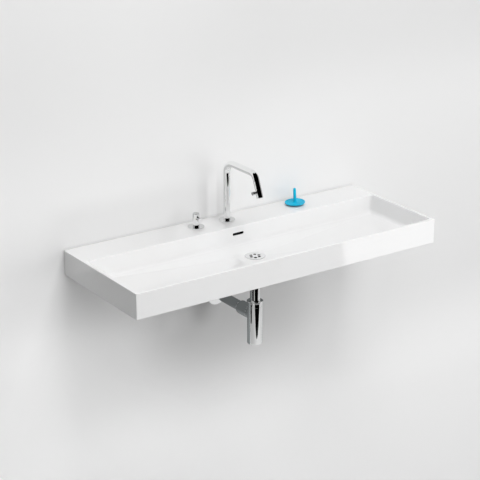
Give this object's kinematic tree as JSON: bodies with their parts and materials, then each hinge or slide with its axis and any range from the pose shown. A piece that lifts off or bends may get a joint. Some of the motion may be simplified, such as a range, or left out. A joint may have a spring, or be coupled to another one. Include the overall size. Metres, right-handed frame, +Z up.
{
  "type": "washbasin",
  "caption": "Wide wall-hung washbasin with a tap ledge, a tall swivel spout, a side valve, a grated waste, a chrome bottle trap and a loose stopper.",
  "frame": {"origin": "midway between the two wall bolts, in the plane of the basin's back face", "axes": "+X along the wall, to the right for someone facing the basin; +Y into the wall, out of the back face; +Z up"},
  "size_m": [1.1, 0.45, 0.569],
  "materials": {
    "ceramic": "smooth white glaze, gloss",
    "chrome": "polished chrome plate on brass",
    "brass": "raw turned brass",
    "steel": "turned stainless steel",
    "rubber": "moulded black rubber",
    "silicone": "satin blue silicone",
    "glide_plastic": "moulded off-white plastic"
  },
  "bodies": {
    "basin": {"basin": "ceramic", "waste_grate": "chrome", "waste_seal": "rubber", "waste_under_seal": "rubber", "waste_washer": "steel", "waste_back_nut": "brass", "tail_nut": "chrome", "tail_gasket": "rubber", "inlet_pipe": "chrome", "collar_nut": "chrome", "collar_seal": "rubber", "trap_body": "chrome", "trap_cup": "chrome", "cup_oring": "rubber", "outlet_nut": "chrome", "outlet_seal": "rubber", "wall_pipe": "chrome", "wall_rosette": "chrome", "spout_cover": "chrome", "spout_cover_seal": "rubber", "spout_shank": "brass", "spout_orings": "rubber", "spout_glide_ring": "glide_plastic", "spout_under_washer": "rubber", "spout_clamp_plate": "steel", "spout_back_nut": "brass", "valve_cover": "chrome", "valve_cover_seal": "rubber", "valve_shank": "brass", "valve_under_washer": "rubber", "valve_clamp_plate": "steel", "valve_back_nut": "brass", "valve_body": "chrome", "valve_grub_screw": "steel", "valve_cartridge": "brass"},
    "spout": {"spout_tube": "chrome", "aerator": "chrome", "aerator_seal": "rubber", "outlet_bonnet": "chrome"},
    "outlet_knob": {"outlet_knob": "chrome", "flow_disc": "steel"},
    "valve_knob": {"valve_knob": "chrome", "valve_spindle": "steel"},
    "stopper": {"stopper": "silicone"}
  },
  "joints": [
    {"name": "spout_swivel", "type": "hinge", "parent": "basin", "child": "spout", "pos_m": [0, -0.06, 0.0383], "axis": [0, 0, 1], "range_deg": [-60, 60]},
    {"name": "outlet_knob_turn", "type": "hinge", "parent": "spout", "child": "outlet_knob", "pos_m": [-0.021, -0.23385, 0.17765], "axis": [-1, 0, 0], "range_deg": [0, 90]},
    {"name": "valve_knob_turn", "type": "hinge", "parent": "basin", "child": "valve_knob", "pos_m": [-0.116, -0.0795, 0.0665], "axis": [0, -1, 0], "range_deg": [0, 90]},
    {"name": "stopper_lift", "type": "slide", "parent": "basin", "child": "stopper", "axis": [0, 0, 1], "range_m": [0, 0.25]}
  ]
}
